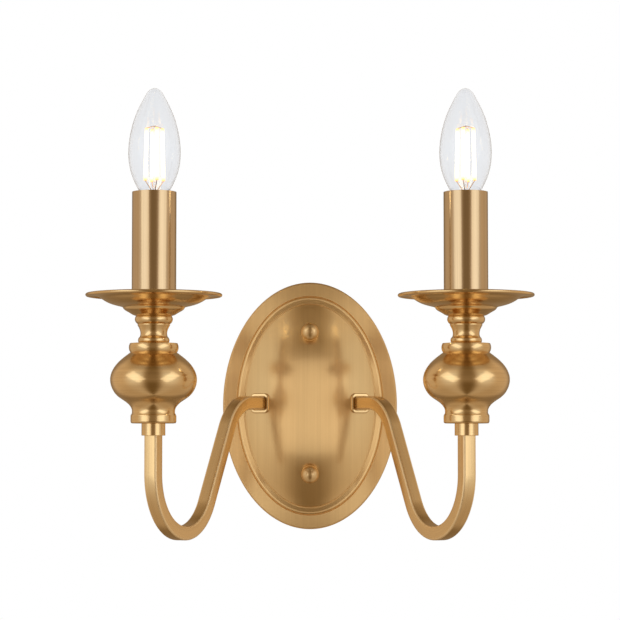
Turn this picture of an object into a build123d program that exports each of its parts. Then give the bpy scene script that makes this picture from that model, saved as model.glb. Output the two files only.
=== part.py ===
"""Double arm wall sconce: a pressed oval backplate on a wall bracket, two bent square tube arms,
and on each arm a turned vase, a neck, a drip pan, a candle sleeve and a screwed-in candle bulb.

Millimetres. The origin lies on the wall plane, at the middle of the bracket's two fixing slots.
+X is to the viewer's right, the wall lies towards +Y, +Z is up."""

from build123d import *
from math import atan2, cos, radians, sin, sqrt, tan
import os

os.makedirs("parts", exist_ok=True)

# ---------------------------------------------------------------- driving dimensions

# Running gap left round a piece that sits in another, and the gap at a seat on a curved face.
fit_gap = 0.05
seat_gap = 0.03

# Backplate: an oval pressed from sheet. Each band keeps one width all the way round. Its middle
# hangs a little below the arms.
plate_half_width = 63.0
plate_half_height = 89.25
plate_drop = 1.45
sheet = 1.2
edge_depth = 9.2
edge_chamfer = 0.9
groove_inset = 10.4
groove_depth = 0.8
groove_half_width = 0.4
outer_band_depth = 11.4
dome_inset = 16.2
dome_edge_depth = 12.4
dome_radius = 83.0

# Wall bracket and the studs that hold the backplate to it.
strap_width = 20.0
strap_length = 122.0
strap_thickness = 2.0
slot_spacing = 60.0
slot_width = 5.0
slot_length = 14.0
peg_radius = 2.5
earth_height = 17.0
stud_height = 51.0
stud_radius = 2.0
knob_radius = 6.4
knob_shank_radius = 3.9
knob_shank_length = 3.5
knob_hole_radius = 4.2
lock_nut_flats = 7.0
lock_nut_thickness = 3.0
earth_washer_radius = 4.5
earth_washer_thickness = 1.0
earth_head_radius = 3.6
earth_head_height = 2.6
earth_cross = (8.0, 1.0, 1.2)

# Terminal block, three ways one above the other.
block_width = 14.0
block_depth = 12.0
way_pitch = 8.0
way_gap = 0.8
way_tube_radius = 2.2
way_bore_radius = 1.4
way_screw_reach = 3.0
way_screw_radius = 1.1
way_screw_hole_radius = 1.6
way_screw_length = 4.2

# Arm: square tube bent in one upright plane that leaves the dome square to its surface.
exit_x = 36.0
bar = 9.5
bar_corner = 0.7
bar_wall = 1.0
arm_run = 155.0
arm_drop = 89.3
arm_straight = 40.8
arm_slope = 60.0
arm_bends = (36.0, 39.0, 40.0)
arm_sunk = 1.5
collar_size = 14.8
collar_corner = 3.4
collar_height = 1.5
collar_window = 10.3

# Threaded tubes: one clamps the arm to the plate, one runs up the candle column.
arm_tube_radius = 3.45
arm_tube_bore = 2.4
column_tube_radius = 4.95
column_tube_bore = 3.5
column_tube_top = 64.0

# Heights up the candle column.
ferrule_bottom = -23.8
ferrule_top = -15.8
ferrule_radius = 7.85
spigot_radius = 6.6
spigot_top = -9.5
bar_end = -18.3
vase_top = 37.1
neck_top = 55.3
vase_wall = 1.6
pan_sheet = 1.0
pan_lip_radius = 44.1
pan_lip_height = 69.0
pan_bead = 1.1

# Candle sleeve and the lampholder inside it.
sleeve_radius = 14.7
sleeve_wall = 0.9
sleeve_bottom = 58.1
sleeve_top = 137.5
stirrup_reach = 10.4
stirrup_sheet = 1.2
stirrup_width = 8.0
stirrup_foot_radius = 7.9
stirrup_top = 100.0
holder_radius = 12.0
holder_bottom = 90.0
holder_top = 129.0
holder_floor = 101.5
shell_outer = 7.6
shell_inner = 6.98
shell_top = 127.0

# Bulb: a 35 mm candle with a 14 mm Edison cap.
bulb_tip = 206.8
bulb_belly = 162.5
bulb_radius = 17.3
bulb_bottom = 106.0
glass_wall = 0.8
button_radius = 2.6
button_rim = 107.2
button_back = 107.6
pin_radius = 1.2
pin_top = 111.6
insulator_bottom = 107.8
insulator_foot_radius = 3.2
insulator_radius = 5.9
insulator_top = 111.4
cap_radius = 6.9
cap_sheet = 0.4
cap_bottom = 109.4
cap_shoulder = 111.6
cap_top = 128.5
filament_count = 4
filament_radius = 1.1
filament_bottom = 145.0
filament_top = 180.0
filament_spread = 6.2
filament_gather = 5.4

# Insulated leads.
lead_radius = 0.9
lead_offset = 1.15

# ---------------------------------------------------------------- worked-out places

dome_flat = sqrt(dome_radius**2 - (plate_half_width - dome_inset) ** 2)
dome_stretch = (plate_half_height - dome_inset) / (plate_half_width - dome_inset)
dome_centre_y = dome_flat - dome_edge_depth


def dome_depth(x, z):
    """Distance of the dome's face in front of the wall plane at a point of the plate."""
    height = (z + plate_drop) / dome_stretch
    return sqrt(dome_radius**2 - x**2 - height**2) - dome_centre_y


exit_turn = atan2(exit_x, dome_depth(exit_x, 0) + dome_centre_y)
exit_y = -dome_depth(exit_x, 0)
candle_x = exit_x + arm_run * sin(exit_turn)
candle_y = exit_y - arm_run * cos(exit_turn)

stirrup_bottom = neck_top + pan_sheet + fit_gap
nut_bottom = stirrup_bottom + stirrup_sheet + fit_gap

sides = {"left": -1, "right": 1}


def knob_seat(height):
    """Depth of the edge that a knob's ball rests on, where its hole is nearest the middle."""
    return -dome_depth(0, height * (1 - knob_hole_radius / stud_height))


def knob_middle(height):
    """Depth of the middle of a knob's ball."""
    return knob_seat(height) - sqrt(knob_radius**2 - knob_hole_radius**2) - fit_gap


def column_plane(side):
    """Upright plane through a candle's axis: x is the radius, y the height."""
    return Plane(origin=(side * candle_x, candle_y, 0), x_dir=(1, 0, 0), z_dir=(0, -1, 0))


def column_axis(side):
    """The candle's axis."""
    return Axis((side * candle_x, candle_y, 0), (0, 0, 1))


def column_level(side, height):
    """Level plane at a height of the candle's axis, x across the arm, y along it."""
    across = (cos(exit_turn), side * sin(exit_turn), 0)
    return Plane(origin=(side * candle_x, candle_y, height), x_dir=across, z_dir=(0, 0, 1))


def arm_plane(side):
    """Plane that the arm bends in: x runs out from the plate, y is up."""
    out = (side * sin(exit_turn), -cos(exit_turn), 0)
    normal = (-cos(exit_turn), -side * sin(exit_turn), 0)
    return Plane(origin=(side * exit_x, exit_y, 0), x_dir=out, z_dir=normal)


def exit_plane(side, distance=0.0):
    """Plane square to the arm where it leaves the dome, or a distance further out."""
    out = (side * sin(exit_turn), -cos(exit_turn), 0)
    return Plane(origin=(side * exit_x, exit_y, 0), x_dir=(0, 0, 1), z_dir=out).offset(distance)


def save(piece, label):
    """Label a finished piece and write its file."""
    piece.part.label = label
    export_step(piece.part, f"parts/{label}.step")


def dome_solid(gap):
    """The tall ellipsoid that the dome is cut from, grown by a gap."""
    radius = dome_radius + gap
    with BuildPart() as ellipsoid:
        with BuildSketch(Plane.XZ.offset(-dome_centre_y)):
            with Locations((0, -plate_drop)):
                Ellipse(radius, radius * dome_stretch)
            with Locations((-radius, -plate_drop)):
                Rectangle(2 * radius, 4 * radius, mode=Mode.SUBTRACT)
        revolve(axis=Axis((0, dome_centre_y, 0), (0, 0, 1)))
    return ellipsoid.part


# ---------------------------------------------------------------- backplate

# Each ring is an inset from the oval's edge and a depth in front of the wall. The last ring of
# each list lies a little under the dome, which rises out of the band.
under_dome = 0.8
band_sections = [
    (0, 0),
    (0, edge_depth),
    (edge_chamfer, edge_depth + edge_chamfer),
    (groove_inset - groove_half_width, outer_band_depth),
    (groove_inset, outer_band_depth - groove_depth),
    (groove_inset + groove_half_width, outer_band_depth),
    (dome_inset + under_dome, dome_edge_depth + under_dome / 6),
]
hollow_sections = [
    (sheet, 0),
    (sheet, edge_depth - sheet / 2),
    (sheet + edge_chamfer, edge_depth + edge_chamfer - sheet),
    (groove_inset, outer_band_depth - groove_depth - sheet),
    (dome_inset + under_dome, dome_edge_depth - sheet + under_dome / 6),
]


def dome_cap(thickness):
    """The front of the dome as a solid, its flat back buried in the band round it."""
    cap = dome_solid(-thickness)
    back = Plane.XZ.offset(dome_edge_depth - thickness - under_dome)
    return split(cap, bisect_by=back, keep=Keep.TOP)


dome_front = dome_cap(0)
dome_inside = dome_cap(sheet)
dome_seat = dome_solid(seat_gap)

with BuildPart() as backplate:
    for inset, depth in band_sections:
        with BuildSketch(Plane.XZ.offset(depth)):
            with Locations((0, -plate_drop)):
                Ellipse(plate_half_width - inset, plate_half_height - inset)
    loft(ruled=True)
    add(dome_front)
    for inset, depth in hollow_sections:
        with BuildSketch(Plane.XZ.offset(depth)):
            with Locations((0, -plate_drop)):
                Ellipse(plate_half_width - inset, plate_half_height - inset)
    loft(ruled=True, mode=Mode.SUBTRACT)
    add(dome_inside, mode=Mode.SUBTRACT)
    for side in sides.values():
        with BuildSketch(exit_plane(side, collar_height)):
            Circle(arm_tube_radius + fit_gap)
        extrude(amount=-10, mode=Mode.SUBTRACT)
    with BuildSketch(Plane.XZ.offset(edge_depth)):
        with Locations((0, stud_height), (0, -stud_height)):
            Circle(knob_hole_radius)
    extrude(amount=dome_radius / 2, mode=Mode.SUBTRACT)
save(backplate, "backplate")

# ---------------------------------------------------------------- wall bracket

with BuildPart() as wall_bracket:
    with BuildSketch(Plane.XZ):
        RectangleRounded(strap_width, strap_length, strap_width / 2 - 1)
        with Locations((0, slot_spacing / 2), (0, -slot_spacing / 2)):
            SlotOverall(slot_length, slot_width, rotation=90, mode=Mode.SUBTRACT)
        Circle(peg_radius, mode=Mode.SUBTRACT)
        with Locations((0, stud_height), (0, -stud_height), (0, earth_height)):
            Circle(stud_radius, mode=Mode.SUBTRACT)
    extrude(amount=strap_thickness)
save(wall_bracket, "wall_bracket")

stud_back = 0.2
stud_tip = -knob_middle(stud_height) - 1.5
with BuildPart() as bracket_studs:
    with BuildSketch(Plane.XZ.offset(stud_back)):
        with Locations((0, stud_height), (0, -stud_height)):
            Circle(stud_radius - fit_gap)
    extrude(amount=stud_tip - stud_back)
save(bracket_studs, "bracket_studs")

with BuildPart() as stud_lock_nuts:
    with BuildSketch(Plane.XZ.offset(strap_thickness)):
        with Locations((0, stud_height), (0, -stud_height)):
            RegularPolygon(lock_nut_flats / 2, 6, major_radius=False)
            Circle(stud_radius, mode=Mode.SUBTRACT)
    extrude(amount=lock_nut_thickness)
save(stud_lock_nuts, "stud_lock_nuts")

earth_head_back = strap_thickness + earth_washer_thickness
cross_length, cross_width, cross_depth = earth_cross
with BuildPart() as earth_screw:
    with BuildSketch(Plane.XZ.offset(strap_thickness)):
        with Locations((0, earth_height)):
            Circle(earth_washer_radius)
    extrude(amount=earth_washer_thickness)
    with BuildSketch(Plane.XZ.offset(earth_head_back)):
        with Locations((0, earth_height)):
            Circle(earth_head_radius)
    extrude(amount=earth_head_height, taper=8)
    with BuildSketch(Plane.XZ.offset(stud_back)):
        with Locations((0, earth_height)):
            Circle(stud_radius - fit_gap)
    extrude(amount=strap_thickness)
    with BuildSketch(Plane.XZ.offset(earth_head_back + earth_head_height)):
        with Locations((0, earth_height)):
            Rectangle(cross_length, cross_width)
            Rectangle(cross_width, cross_length)
    extrude(amount=-cross_depth, mode=Mode.SUBTRACT)
save(earth_screw, "earth_screw")

# ---------------------------------------------------------------- knob nuts

# The ball's face turns into the shank at shank_y, and the shank ends inside the plate.
for label, height in (("top_knob_nut", stud_height), ("bottom_knob_nut", -stud_height)):
    middle_y = knob_middle(height)
    shank_y = middle_y + sqrt(knob_radius**2 - knob_shank_radius**2)
    shank_end = knob_seat(height) + knob_shank_length
    with BuildPart() as knob_nut:
        with BuildSketch(Plane.YZ):
            with BuildLine():
                front = (middle_y - knob_radius, height)
                crown = (middle_y, height + knob_radius)
                shank = (shank_y, height + knob_shank_radius)
                Polyline(shank, (shank_end, shank[1]), (shank_end, height), front)
                ThreePointArc(front, crown, shank)
            make_face()
        revolve(axis=Axis((0, 0, height), (0, 1, 0)))
        with BuildSketch(Plane.XZ.offset(-shank_end)):
            with Locations((0, height)):
                Circle(stud_radius)
        extrude(amount=shank_end - middle_y, mode=Mode.SUBTRACT)
    save(knob_nut, label)

# ---------------------------------------------------------------- terminal block

way_heights = [way_pitch, 0, -way_pitch]
block_back = strap_thickness
block_middle = block_back + block_depth / 2
with BuildPart() as terminal_block:
    with BuildSketch(Plane.XZ.offset(block_back)):
        for height in way_heights:
            with Locations((0, height)):
                RectangleRounded(block_width, way_pitch - way_gap, 1)
        Rectangle(block_width - 4, 2 * way_pitch + 2)
    extrude(amount=block_depth)
    with BuildSketch(Plane.YZ.offset(-block_width / 2)):
        for height in way_heights:
            with Locations((-block_middle, height)):
                Circle(way_tube_radius)
    extrude(amount=block_width, mode=Mode.SUBTRACT)
    with BuildSketch(Plane.XZ.offset(block_middle)):
        for height in way_heights:
            with Locations((-way_screw_reach, height), (way_screw_reach, height)):
                Circle(way_screw_hole_radius)
    extrude(amount=block_depth, mode=Mode.SUBTRACT)
    with BuildSketch(Plane.XZ.offset(block_back)):
        Circle(peg_radius - fit_gap)
    extrude(amount=stud_back - strap_thickness)
save(terminal_block, "terminal_block")

with BuildPart() as terminal_tubes:
    with BuildSketch(Plane.YZ.offset(-block_width / 2 + 1)):
        for height in way_heights:
            with Locations((-block_middle, height)):
                Circle(way_tube_radius - fit_gap)
                Circle(way_bore_radius, mode=Mode.SUBTRACT)
    extrude(amount=block_width - 2)
    with BuildSketch(Plane.XZ.offset(block_middle)):
        for height in way_heights:
            with Locations((-way_screw_reach, height), (way_screw_reach, height)):
                Circle(way_screw_radius)
    extrude(amount=way_tube_radius, mode=Mode.SUBTRACT)
save(terminal_tubes, "terminal_tubes")

with BuildPart() as terminal_screws:
    with BuildSketch(Plane.XZ.offset(block_middle + lead_radius + fit_gap)):
        for height in way_heights:
            with Locations((-way_screw_reach, height), (way_screw_reach, height)):
                Circle(way_screw_radius - fit_gap)
    extrude(amount=way_screw_length)
save(terminal_screws, "terminal_screws")

# ---------------------------------------------------------------- arms

fall = arm_drop / tan(radians(arm_slope))
arm_corners = [
    (arm_straight, 0),
    (arm_straight + fall, -arm_drop),
    (arm_run, -arm_drop),
]


def build_arm(side):
    """Bent square tube, from the dome down and up to the ferrule."""
    with BuildPart() as arm:
        with BuildLine(arm_plane(side)):
            FilletPolyline((-arm_sunk, 0), *arm_corners, (arm_run, bar_end), radius=arm_bends)
        with BuildSketch(exit_plane(side, -arm_sunk)):
            RectangleRounded(bar, bar, bar_corner)
            Rectangle(bar - 2 * bar_wall, bar - 2 * bar_wall, mode=Mode.SUBTRACT)
        sweep()
        add(dome_seat, mode=Mode.SUBTRACT)
    return arm


def build_collar(side):
    """Thin rounded-square rose round the arm, its back cut to the dome."""
    with BuildPart() as collar:
        with BuildSketch(exit_plane(side, -arm_sunk)):
            RectangleRounded(collar_size, collar_size, collar_corner)
            RectangleRounded(collar_window, collar_window, bar_corner, mode=Mode.SUBTRACT)
        extrude(amount=arm_sunk + collar_height)
        face = collar.faces().sort_by(Axis(exit_plane(side).origin, exit_plane(side).z_dir))[-1]
        fillet(face.outer_wire().edges(), 0.8)
        add(dome_seat, mode=Mode.SUBTRACT)
    return collar


washer_front = -(sheet + 0.36)
washer_radius = 7.0
washer_thickness = 1.0
arm_nut_flats = 12.0
arm_nut_thickness = 3.5
arm_tube_back = -8.0
arm_tube_front = 11.0


def build_arm_tube(side):
    """Threaded tube from inside the arm, through the dome, to the lock nut."""
    with BuildPart() as arm_tube:
        with BuildSketch(exit_plane(side, arm_tube_back)):
            Circle(arm_tube_radius)
            Circle(arm_tube_bore, mode=Mode.SUBTRACT)
        extrude(amount=arm_tube_front - arm_tube_back)
    return arm_tube


def build_arm_washer(side):
    """Flat washer against the inside of the dome."""
    with BuildPart() as washer:
        with BuildSketch(exit_plane(side, washer_front)):
            Circle(washer_radius)
            Circle(arm_tube_radius + fit_gap, mode=Mode.SUBTRACT)
        extrude(amount=-washer_thickness)
    return washer


def build_arm_nut(side):
    """Hexagon nut that pulls the arm against the dome."""
    with BuildPart() as nut:
        with BuildSketch(exit_plane(side, washer_front - washer_thickness)):
            RegularPolygon(arm_nut_flats / 2, 6, major_radius=False)
            Circle(arm_tube_radius + fit_gap, mode=Mode.SUBTRACT)
        extrude(amount=-arm_nut_thickness)
    return nut


# ---------------------------------------------------------------- candle column

column_tube_bottom = bar_end + 1.0 + fit_gap
column_nut_flats = 14.0
column_nut_thickness = 3.0


def build_ferrule(side):
    """Round socket that takes the arm's square end below and the threaded tube above."""
    with BuildPart() as ferrule:
        with BuildSketch(column_plane(side)):
            with BuildLine():
                Polyline(
                    (0, ferrule_bottom),
                    (ferrule_radius, ferrule_bottom),
                    (ferrule_radius, ferrule_top),
                    (spigot_radius, ferrule_top),
                    (spigot_radius, spigot_top),
                    (0, spigot_top),
                    close=True,
                )
            make_face()
        revolve(axis=column_axis(side))
        with BuildSketch(column_level(side, ferrule_bottom)):
            RectangleRounded(bar + 2 * fit_gap, bar + 2 * fit_gap, bar_corner)
        extrude(amount=bar_end - ferrule_bottom + fit_gap, mode=Mode.SUBTRACT)
        with BuildSketch(column_level(side, ferrule_bottom)):
            Circle(column_tube_bore)
        extrude(amount=spigot_top - ferrule_bottom, mode=Mode.SUBTRACT)
        with BuildSketch(column_level(side, spigot_top)):
            Circle(column_tube_radius + fit_gap)
        extrude(amount=column_tube_bottom - spigot_top, mode=Mode.SUBTRACT)
        chamfer(ferrule.edges().group_by(Axis.Z)[0].filter_by(GeomType.CIRCLE), 0.4)
    return ferrule


def build_vase(side):
    """Turned and hollow vase: foot, waist, round belly, and a ring on its shoulder."""
    foot = 15.1
    foot_top = -10.6
    waist = 14.2
    belly = 28.6
    shoulder = 15.7
    ring_bottom = 31.0
    bore = column_tube_radius + fit_gap
    with BuildPart() as vase:
        with BuildSketch(column_plane(side)) as outline:
            with BuildLine():
                Polyline((foot, foot_top), (foot, ferrule_top), (bore, ferrule_top))
                Polyline((bore, ferrule_top), (bore, vase_top), (shoulder, vase_top))
                ThreePointArc((shoulder, vase_top), (16.4, 34.5), (15.4, ring_bottom))
                Spline(
                    (15.4, ring_bottom),
                    (24.2, 23.5),
                    (belly, 13.8),
                    (23.8, 2.3),
                    (16.65, -3.0),
                    (waist, -7.6),
                    tangents=((1, -0.75), (0, -1)),
                )
                Polyline((waist, -7.6), (waist, foot_top + 1.6), (foot, foot_top))
            make_face()
            fillet(outline.vertices().filter_by_position(Axis.X, foot - 0.01, foot + 0.01), 0.8)
        revolve(axis=column_axis(side))
        with BuildSketch(column_plane(side)):
            with BuildLine():
                Spline(
                    (13.0, ring_bottom),
                    (24.2 - vase_wall, 23.5 - vase_wall / 2),
                    (belly - vase_wall, 13.8),
                    (23.8 - vase_wall, 2.3 + vase_wall / 2),
                    (12.4, -5.0),
                )
                Polyline((12.4, -5.0), (0, -5.0), (0, ring_bottom), (13.0, ring_bottom))
            make_face()
        revolve(axis=column_axis(side), mode=Mode.SUBTRACT)
        with BuildSketch(column_level(side, ferrule_top)):
            Circle(spigot_radius + fit_gap)
        extrude(amount=spigot_top - ferrule_top + fit_gap, mode=Mode.SUBTRACT)
    return vase


def build_neck(side):
    """Turned spacer between the vase and the pan: bead, waist, flare and torus."""
    bore = column_tube_radius + fit_gap
    with BuildPart() as neck:
        with BuildSketch(column_plane(side)):
            with BuildLine():
                Line((bore, vase_top), (9.7, vase_top))
                ThreePointArc((9.7, vase_top), (10.4, 39.2), (9.3, 41.3))
                Spline((9.3, 41.3), (8.8, 43.6), (10.75, 49.0), tangents=((-0.5, 1), (0.6, 1)))
                Polyline((10.75, 49.0), (10.75, 49.4), (10.6, 49.8))
                ThreePointArc((10.6, 49.8), (12.3, 51.7), (11.7, neck_top))
                Polyline((11.7, neck_top), (bore, neck_top), (bore, vase_top))
            make_face()
        revolve(axis=column_axis(side))
    return neck


def build_pan(side):
    """Spun drip pan: small lower bowl, step, broad bowl and a nearly flat beaded lip."""
    bore = column_tube_radius + fit_gap
    lip_edge = pan_lip_radius - 0.6
    lip_back = pan_lip_height - 0.4
    with BuildPart() as pan:
        with BuildSketch(column_plane(side)):
            with BuildLine():
                Line((bore, neck_top), (11.6, neck_top))
                Spline((11.6, neck_top), (16.9, 57.7), (20.4, 60.6), tangents=((1, 0), (0.3, 1)))
                Line((20.4, 60.6), (21.2, 61.2))
                Spline(
                    (21.2, 61.2),
                    (28.3, 63.1),
                    (33.5, 65.7),
                    (37.2, 68.0),
                    (lip_edge, lip_back),
                    tangents=((1, 0.25), (1, 0)),
                )
                Line((lip_edge, lip_back), (lip_edge, lip_back + pan_sheet))
                Spline(
                    (lip_edge, lip_back + pan_sheet),
                    (37.0, 68.0 + pan_sheet),
                    (33.3, 65.7 + pan_sheet),
                    (28.1, 63.1 + pan_sheet),
                    (20.6, 61.2 + pan_sheet),
                    tangents=((-1, 0), (-1, -0.25)),
                )
                Line((20.6, 61.2 + pan_sheet), (19.6, 60.6 + pan_sheet))
                Spline(
                    (19.6, 60.6 + pan_sheet),
                    (16.3, 57.7 + pan_sheet),
                    (11.4, neck_top + pan_sheet),
                    tangents=((-0.3, -1), (-1, 0)),
                )
                Polyline(
                    (11.4, neck_top + pan_sheet), (bore, neck_top + pan_sheet), (bore, neck_top)
                )
            make_face()
            with Locations((pan_lip_radius, pan_lip_height)):
                Circle(pan_bead)
        revolve(axis=column_axis(side))
    return pan


def build_tube(side, outer, inner, bottom, top):
    """Round tube on the candle's axis."""
    with BuildPart() as tube:
        with BuildSketch(column_level(side, bottom)):
            Circle(outer)
            Circle(inner, mode=Mode.SUBTRACT)
        extrude(amount=top - bottom)
    return tube


def build_stirrup(side):
    """U-shaped strip that stands on the pan and holds the lampholder between its legs."""
    bend = stirrup_sheet * 1.8
    across = column_level(side, 0)
    legs_plane = Plane(origin=across.origin, x_dir=across.y_dir, z_dir=across.x_dir)
    foot = stirrup_bottom + stirrup_sheet / 2
    with BuildPart() as stirrup:
        with BuildSketch(legs_plane):
            with BuildLine():
                FilletPolyline(
                    (-stirrup_reach, stirrup_top),
                    (-stirrup_reach, foot),
                    (stirrup_reach, foot),
                    (stirrup_reach, stirrup_top),
                    radius=bend,
                )
            trace(line_width=stirrup_sheet)
        extrude(amount=stirrup_width / 2, both=True)
        with BuildSketch(column_level(side, stirrup_bottom)):
            Circle(stirrup_foot_radius)
        extrude(amount=stirrup_sheet)
        with BuildSketch(column_level(side, stirrup_bottom)):
            Circle(column_tube_radius + fit_gap)
        extrude(amount=stirrup_sheet, mode=Mode.SUBTRACT)
    return stirrup


def build_column_nut(side):
    """Hexagon nut that clamps the stirrup, pan, neck and vase down on the ferrule."""
    with BuildPart() as nut:
        with BuildSketch(column_level(side, nut_bottom)):
            RegularPolygon(column_nut_flats / 2, 6, major_radius=False)
            Circle(column_tube_radius + fit_gap, mode=Mode.SUBTRACT)
        extrude(amount=column_nut_thickness)
    return nut


socket_mouth_radius = 9.0
terminal_reach = 4.6
lead_end = 95.0
terminal_height = 93.5
terminal_length = 7.2
terminal_width = 2.6
holder_screw_radius = 1.25
holder_screw_length = 6.0


def build_lampholder(side):
    """Moulded lampholder: socket above, flats for the stirrup and two wire entries below."""
    level = column_level(side, holder_bottom)
    with BuildPart() as holder:
        with BuildSketch(level):
            Circle(holder_radius)
        extrude(amount=holder_top - holder_bottom)
        with BuildSketch(column_level(side, holder_floor)):
            Circle(shell_outer + fit_gap)
        extrude(amount=holder_top - holder_floor, mode=Mode.SUBTRACT)
        with BuildSketch(column_level(side, shell_top)):
            Circle(socket_mouth_radius)
        extrude(amount=holder_top - shell_top, mode=Mode.SUBTRACT)
        flat = stirrup_reach - stirrup_sheet / 2 - fit_gap
        with BuildSketch(level):
            with Locations((0, flat + 2), (0, -flat - 2)):
                Rectangle(2 * holder_radius, 4)
        extrude(amount=stirrup_top - holder_bottom + fit_gap, mode=Mode.SUBTRACT)
        with BuildSketch(level):
            with Locations((terminal_reach, 0), (-terminal_reach, 0)):
                Circle(way_bore_radius)
        extrude(amount=lead_end - holder_bottom + 1, mode=Mode.SUBTRACT)
        with BuildSketch(level.offset(terminal_height - holder_bottom)):
            screw_middle = holder_radius - terminal_length / 2 + 0.1
            with Locations((screw_middle, 0), (-screw_middle, 0)):
                Rectangle(terminal_length, terminal_width)
        extrude(amount=terminal_width / 2, both=True, mode=Mode.SUBTRACT)
        rim = holder.edges().filter_by(GeomType.CIRCLE).group_by(Axis.Z)[-1]
        fillet(rim.sort_by(SortBy.RADIUS)[-1], 0.8)
    return holder


def build_holder_screws(side):
    """The two screws that clamp the leads in the lampholder."""
    level = column_level(side, terminal_height)
    with BuildPart() as screws:
        for way in (-1, 1):
            start = Plane(
                origin=level.origin + level.x_dir * way * (terminal_reach + lead_radius + fit_gap),
                x_dir=level.y_dir,
                z_dir=level.x_dir * way,
            )
            with BuildSketch(start):
                Circle(holder_screw_radius)
            extrude(amount=holder_screw_length)
    return screws


contact_sheet = 0.5
contact_width = 3.6


def build_centre_contact(side):
    """Springy strip under the bulb's tip."""
    with BuildPart() as contact:
        with BuildSketch(column_plane(side)):
            with BuildLine():
                FilletPolyline(
                    (side * -6.2, holder_floor + contact_sheet),
                    (side * 2.0, holder_floor + contact_sheet),
                    (side * 4.2, bulb_bottom - 1.8),
                    (side * 1.5, bulb_bottom - contact_sheet),
                    (side * -2.5, bulb_bottom - contact_sheet),
                    radius=0.9,
                )
            trace(line_width=contact_sheet)
        extrude(amount=contact_width / 2, both=True)
    return contact


# ---------------------------------------------------------------- bulb


def build_bulb_contact(side):
    """The solder tip, a shallow button on a short pin."""
    with BuildPart() as contact:
        with BuildSketch(column_plane(side)):
            with BuildLine():
                TangentArc((0, bulb_bottom), (button_radius, button_rim), tangent=(1, 0))
                Polyline(
                    (button_radius, button_rim),
                    (button_radius, button_back),
                    (pin_radius, button_back),
                    (pin_radius, pin_top),
                    (0, pin_top),
                    (0, bulb_bottom),
                )
            make_face()
        revolve(axis=column_axis(side))
    return contact


def build_bulb_insulator(side):
    """Black glass cone between the tip and the cap."""
    with BuildPart() as insulator:
        with BuildSketch(column_plane(side)):
            with BuildLine():
                Polyline(
                    (pin_radius + 0.1, insulator_bottom),
                    (insulator_foot_radius, insulator_bottom),
                    (insulator_radius, cap_bottom + 0.3),
                    (insulator_radius, insulator_top),
                    (pin_radius + 0.1, insulator_top),
                    close=True,
                )
            make_face()
        revolve(axis=column_axis(side))
    return insulator


def build_bulb_cap(side):
    """Thin screw cap, narrowed at its bottom, with a plain skirt."""
    mouth = insulator_radius + fit_gap
    with BuildPart() as cap:
        with BuildSketch(column_plane(side)):
            with BuildLine():
                Polyline(
                    (mouth, cap_bottom + 0.6),
                    (cap_radius, cap_shoulder),
                    (cap_radius, cap_top),
                    (cap_radius - cap_sheet, cap_top),
                    (cap_radius - cap_sheet, cap_shoulder + cap_sheet),
                    (mouth, cap_shoulder - cap_sheet),
                    close=True,
                )
            make_face()
        revolve(axis=column_axis(side))
    return cap


glass_side = [
    (5.9, 124.0),
    (6.3, 128.8),
    (11.3, 140.3),
    (15.8, 151.5),
    (bulb_radius, bulb_belly),
    (16.0, 176.5),
    (11.6, 191.1),
    (6.5, 201.3),
]
glass_nose = [(4.1, 204.9), (0, bulb_tip)]


def build_bulb_glass(side):
    """Blown candle envelope: one wall all round, closed to a point."""
    inner_side = [(radius - glass_wall, height) for radius, height in glass_side]
    inner_nose = [(3.5, 204.1), (0, bulb_tip - glass_wall)]
    with BuildPart() as glass:
        with BuildSketch(column_plane(side)):
            with BuildLine():
                outer = Spline(*glass_side)
                Spline(outer @ 1, *glass_nose, tangents=(outer % 1, (-1, 0)))
                Line(glass_nose[-1], inner_nose[-1])
                inner = Spline(*inner_side)
                Spline(inner @ 1, *inner_nose, tangents=(inner % 1, (-1, 0)))
                Line(inner_side[0], glass_side[0])
            make_face()
        revolve(axis=column_axis(side))
    return glass


stem_bottom = 124.2
stem_top = 139.0
stem_flare = [(4.9, stem_bottom), (2.6, 128.5), (2.2, 134.0)]
stem_rod_radius = 0.8
wire_radius = 0.25
wire_top = filament_top + 1.5


def build_bulb_stem(side):
    """Pressed glass stem, flared to meet the envelope's mouth, with a rod up its middle."""
    with BuildPart() as stem:
        with BuildSketch(column_plane(side)):
            with BuildLine():
                Line((0, stem_bottom), stem_flare[0])
                Spline(*stem_flare, tangents=((-0.5, 1), (0, 1)))
                Polyline(
                    stem_flare[-1],
                    (stem_flare[-1][0], stem_top),
                    (stem_rod_radius, stem_top),
                    (stem_rod_radius, wire_top),
                    (0, wire_top),
                    (0, stem_bottom),
                )
            make_face()
        revolve(axis=column_axis(side))
    return stem


def filament_end(turn, at_top):
    """Middle of a filament's end, on the candle's level axes."""
    reach = filament_gather if at_top else filament_spread
    return Vector(
        reach * cos(radians(turn)),
        reach * sin(radians(turn)),
        filament_top if at_top else filament_bottom,
    )


filament_turns = [45 + 360 / filament_count * index for index in range(filament_count)]


def build_rods(side, ends, radius):
    """Round rods between pairs of points given on the candle's level axes."""
    frame = column_level(side, 0)
    with BuildPart() as rods:
        for start, end in ends:
            foot = frame.from_local_coords(start)
            head = frame.from_local_coords(end)
            with BuildSketch(Plane(origin=foot, z_dir=head - foot)):
                Circle(radius)
            extrude(amount=(head - foot).length)
    return rods


def build_bulb_filaments(side):
    """Straight lit rods, spread at the bottom and gathered at the top."""
    ends = [(filament_end(turn, False), filament_end(turn, True)) for turn in filament_turns]
    return build_rods(side, ends, filament_radius)


def build_bulb_wires(side):
    """Fine wires from the stem to both ends of the filaments."""
    ends = []
    for turn in filament_turns:
        low = filament_end(turn, False)
        high = filament_end(turn, True)
        ends.append((Vector(low.X * 0.35, low.Y * 0.35, stem_top), low))
        ends.append((Vector(0, 0, wire_top), high))
    return build_rods(side, ends, wire_radius)


# ---------------------------------------------------------------- leads


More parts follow.
